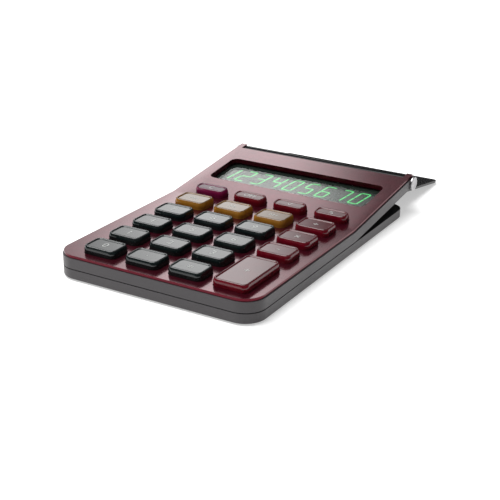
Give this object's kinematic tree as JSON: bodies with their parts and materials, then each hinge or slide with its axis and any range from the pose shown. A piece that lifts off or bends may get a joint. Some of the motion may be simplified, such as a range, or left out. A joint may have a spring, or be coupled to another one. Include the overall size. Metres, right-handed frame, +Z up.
{
  "type": "pocket calculator",
  "caption": "Pocket calculator with a tilted display panel, keys that press and a hinged display cover that folds over the window.",
  "frame": {"origin": "on the table, in the middle of the footprint of the calculator with its cover open", "axes": "+X to the user's right, +Y from the front edge towards the display and the cover, +Z up from the table"},
  "size_m": [0.0734, 0.1452, 0.0136],
  "materials": {
    "case": "satin dark grey moulded plastic",
    "faceplate": "glossy burgundy acrylic sheet",
    "number_key": "glossy near-black green",
    "memory_key": "glossy amber",
    "operator_key": "glossy red",
    "clear_key": "glossy magenta",
    "key_rubber": "matte silicone",
    "board": "green circuit board",
    "display_glass": "greenish grey display glass",
    "lens": "clear acrylic",
    "ribbon": "amber polyimide film",
    "epoxy": "black potting resin",
    "cell_steel": "nickel-plated steel",
    "contact_steel": "bright spring steel",
    "screw_steel": "zinc-plated steel",
    "cap_metal": "satin aluminium",
    "cover": "semi-gloss black",
    "foot_rubber": "matte black rubber"
  },
  "bodies": {
    "root": {"lower_case": "case", "upper_case": "case", "faceplate": "faceplate", "key_mat": "key_rubber", "panel_key_mat": "key_rubber", "main_board": "board", "panel_board": "board", "display_glass": "display_glass", "display_lens": "lens", "board_ribbon": "ribbon", "display_ribbon": "ribbon", "controller_chip": "epoxy", "battery_cell": "cell_steel", "negative_contact": "contact_steel", "positive_contact": "contact_steel", "battery_cover": "case", "battery_cover_screw": "screw_steel", "case_screw_1": "screw_steel", "case_screw_2": "screw_steel", "case_screw_3": "screw_steel", "case_screw_4": "screw_steel", "foot_1": "foot_rubber", "foot_2": "foot_rubber", "foot_3": "foot_rubber", "foot_4": "foot_rubber", "hinge_pin": "screw_steel", "hinge_cap_right": "cap_metal", "hinge_cap_left": "cap_metal"},
    "key_0": {"key_0": "number_key"},
    "key_point": {"key_point": "number_key"},
    "key_equals": {"key_equals": "number_key"},
    "key_plus": {"key_plus": "operator_key"},
    "key_1": {"key_1": "number_key"},
    "key_2": {"key_2": "number_key"},
    "key_3": {"key_3": "number_key"},
    "key_4": {"key_4": "number_key"},
    "key_5": {"key_5": "number_key"},
    "key_6": {"key_6": "number_key"},
    "key_minus": {"key_minus": "operator_key"},
    "key_7": {"key_7": "number_key"},
    "key_8": {"key_8": "number_key"},
    "key_9": {"key_9": "number_key"},
    "key_times": {"key_times": "operator_key"},
    "key_memory_recall": {"key_memory_recall": "memory_key"},
    "key_memory_minus": {"key_memory_minus": "memory_key"},
    "key_memory_plus": {"key_memory_plus": "memory_key"},
    "key_divide": {"key_divide": "operator_key"},
    "key_clear": {"key_clear": "clear_key"},
    "key_off": {"key_off": "operator_key"},
    "key_root": {"key_root": "operator_key"},
    "key_percent": {"key_percent": "operator_key"},
    "display_cover": {"display_cover": "cover"}
  },
  "joints": [
    {"name": "press_key_0", "type": "slide", "parent": "root", "child": "key_0", "axis": [0, 0, -1], "range_m": [0, 0.0009], "stiffness_N_per_m": 450, "springref_m": -0.0004, "deforming": ["key_mat"]},
    {"name": "press_key_point", "type": "slide", "parent": "root", "child": "key_point", "axis": [0, 0, -1], "range_m": [0, 0.0009], "stiffness_N_per_m": 450, "springref_m": -0.0004, "deforming": ["key_mat"]},
    {"name": "press_key_equals", "type": "slide", "parent": "root", "child": "key_equals", "axis": [0, 0, -1], "range_m": [0, 0.0009], "stiffness_N_per_m": 450, "springref_m": -0.0004, "deforming": ["key_mat"]},
    {"name": "press_key_plus", "type": "slide", "parent": "root", "child": "key_plus", "axis": [0, 0, -1], "range_m": [0, 0.0009], "stiffness_N_per_m": 450, "springref_m": -0.0004, "deforming": ["key_mat"]},
    {"name": "press_key_1", "type": "slide", "parent": "root", "child": "key_1", "axis": [0, 0, -1], "range_m": [0, 0.0009], "stiffness_N_per_m": 450, "springref_m": -0.0004, "deforming": ["key_mat"]},
    {"name": "press_key_2", "type": "slide", "parent": "root", "child": "key_2", "axis": [0, 0, -1], "range_m": [0, 0.0009], "stiffness_N_per_m": 450, "springref_m": -0.0004, "deforming": ["key_mat"]},
    {"name": "press_key_3", "type": "slide", "parent": "root", "child": "key_3", "axis": [0, 0, -1], "range_m": [0, 0.0009], "stiffness_N_per_m": 450, "springref_m": -0.0004, "deforming": ["key_mat"]},
    {"name": "press_key_4", "type": "slide", "parent": "root", "child": "key_4", "axis": [0, 0, -1], "range_m": [0, 0.0009], "stiffness_N_per_m": 450, "springref_m": -0.0004, "deforming": ["key_mat"]},
    {"name": "press_key_5", "type": "slide", "parent": "root", "child": "key_5", "axis": [0, 0, -1], "range_m": [0, 0.0009], "stiffness_N_per_m": 450, "springref_m": -0.0004, "deforming": ["key_mat"]},
    {"name": "press_key_6", "type": "slide", "parent": "root", "child": "key_6", "axis": [0, 0, -1], "range_m": [0, 0.0009], "stiffness_N_per_m": 450, "springref_m": -0.0004, "deforming": ["key_mat"]},
    {"name": "press_key_minus", "type": "slide", "parent": "root", "child": "key_minus", "axis": [0, 0, -1], "range_m": [0, 0.0009], "stiffness_N_per_m": 450, "springref_m": -0.0004, "deforming": ["key_mat"]},
    {"name": "press_key_7", "type": "slide", "parent": "root", "child": "key_7", "axis": [0, 0, -1], "range_m": [0, 0.0009], "stiffness_N_per_m": 450, "springref_m": -0.0004, "deforming": ["key_mat"]},
    {"name": "press_key_8", "type": "slide", "parent": "root", "child": "key_8", "axis": [0, 0, -1], "range_m": [0, 0.0009], "stiffness_N_per_m": 450, "springref_m": -0.0004, "deforming": ["key_mat"]},
    {"name": "press_key_9", "type": "slide", "parent": "root", "child": "key_9", "axis": [0, 0, -1], "range_m": [0, 0.0009], "stiffness_N_per_m": 450, "springref_m": -0.0004, "deforming": ["key_mat"]},
    {"name": "press_key_times", "type": "slide", "parent": "root", "child": "key_times", "axis": [0, 0, -1], "range_m": [0, 0.0009], "stiffness_N_per_m": 450, "springref_m": -0.0004, "deforming": ["key_mat"]},
    {"name": "press_key_memory_recall", "type": "slide", "parent": "root", "child": "key_memory_recall", "axis": [0, 0, -1], "range_m": [0, 0.0009], "stiffness_N_per_m": 450, "springref_m": -0.0004, "deforming": ["key_mat"]},
    {"name": "press_key_memory_minus", "type": "slide", "parent": "root", "child": "key_memory_minus", "axis": [0, 0, -1], "range_m": [0, 0.0009], "stiffness_N_per_m": 450, "springref_m": -0.0004, "deforming": ["key_mat"]},
    {"name": "press_key_memory_plus", "type": "slide", "parent": "root", "child": "key_memory_plus", "axis": [0, 0, -1], "range_m": [0, 0.0009], "stiffness_N_per_m": 450, "springref_m": -0.0004, "deforming": ["key_mat"]},
    {"name": "press_key_divide", "type": "slide", "parent": "root", "child": "key_divide", "axis": [0, 0, -1], "range_m": [0, 0.0009], "stiffness_N_per_m": 450, "springref_m": -0.0004, "deforming": ["key_mat"]},
    {"name": "press_key_clear", "type": "slide", "parent": "root", "child": "key_clear", "axis": [0, 0.1097, -0.994], "range_m": [0, 0.0009], "stiffness_N_per_m": 450, "springref_m": -0.0004, "deforming": ["panel_key_mat"]},
    {"name": "press_key_off", "type": "slide", "parent": "root", "child": "key_off", "axis": [0, 0.1097, -0.994], "range_m": [0, 0.0009], "stiffness_N_per_m": 450, "springref_m": -0.0004, "deforming": ["panel_key_mat"]},
    {"name": "press_key_root", "type": "slide", "parent": "root", "child": "key_root", "axis": [0, 0.1097, -0.994], "range_m": [0, 0.0009], "stiffness_N_per_m": 450, "springref_m": -0.0004, "deforming": ["panel_key_mat"]},
    {"name": "press_key_percent", "type": "slide", "parent": "root", "child": "key_percent", "axis": [0, 0.1097, -0.994], "range_m": [0, 0.0009], "stiffness_N_per_m": 450, "springref_m": -0.0004, "deforming": ["panel_key_mat"]},
    {"name": "open_cover", "type": "hinge", "parent": "root", "child": "display_cover", "pos_m": [0, 0.03918, 0.01047], "axis": [1, 0, 0], "range_deg": [0, 196.02]}
  ]
}
